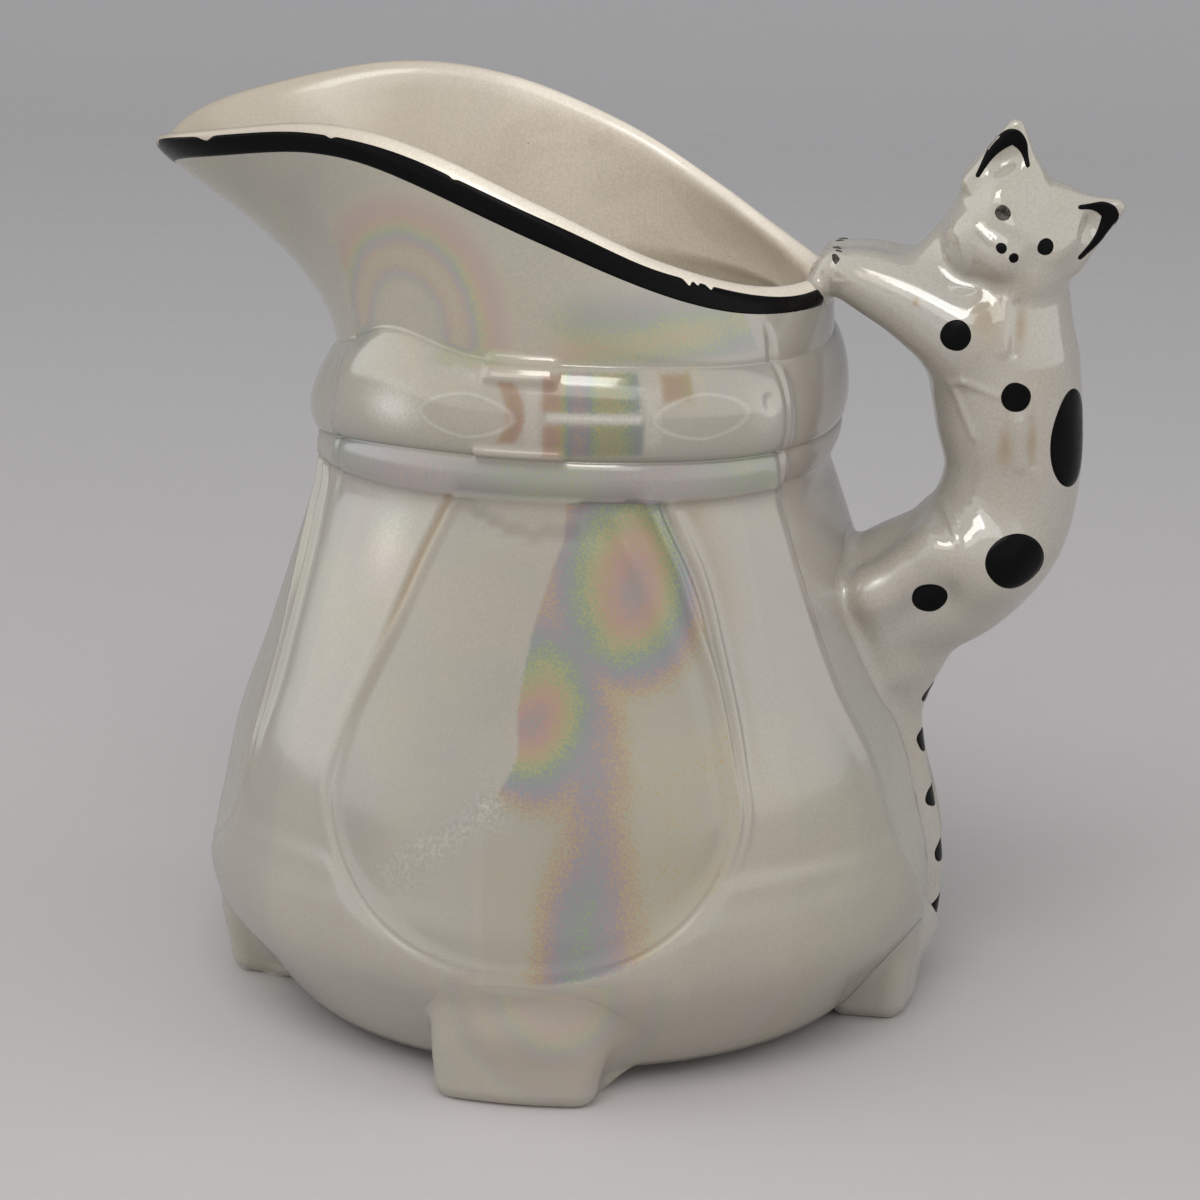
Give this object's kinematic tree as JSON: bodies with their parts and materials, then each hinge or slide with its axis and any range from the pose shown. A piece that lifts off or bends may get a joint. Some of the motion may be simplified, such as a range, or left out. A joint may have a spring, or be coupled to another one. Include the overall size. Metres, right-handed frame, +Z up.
{
  "type": "cream jug",
  "caption": "Lustre-glazed cream jug shaped like a tied sack on block feet, with a swooping rim, a pointed spout and a spotted cat as its handle.",
  "frame": {"origin": "on the table, under the middle of the outline of the jug and the cat together", "axes": "+Z up, -X towards the spout's tip, +X towards the cat that is the handle, -Y towards the side the cat looks to"},
  "size_m": [0.1201, 0.094, 0.1143],
  "materials": {
    "lustre_glaze": "pearl lustre over a cream glaze, glossy, with faint rainbow colours",
    "black_enamel": "glossy black enamel painted by hand"
  },
  "bodies": {
    "root": {"jug_body": "lustre_glaze", "foot_front": "lustre_glaze", "foot_back": "lustre_glaze", "foot_spout_side": "lustre_glaze", "foot_handle_side": "lustre_glaze", "cat_torso": "lustre_glaze", "cat_head": "lustre_glaze", "cat_ear_left": "lustre_glaze", "cat_ear_right": "lustre_glaze", "cat_foreleg_left": "lustre_glaze", "cat_foreleg_right": "lustre_glaze", "cat_hind_leg_left": "lustre_glaze", "cat_hind_leg_right": "lustre_glaze", "cat_tail": "lustre_glaze", "rim_line": "black_enamel", "cat_spots": "black_enamel", "tail_bars": "black_enamel", "ear_edges": "black_enamel", "eyes": "black_enamel", "nostrils": "black_enamel", "claw_marks": "black_enamel"}
  },
  "joints": []
}
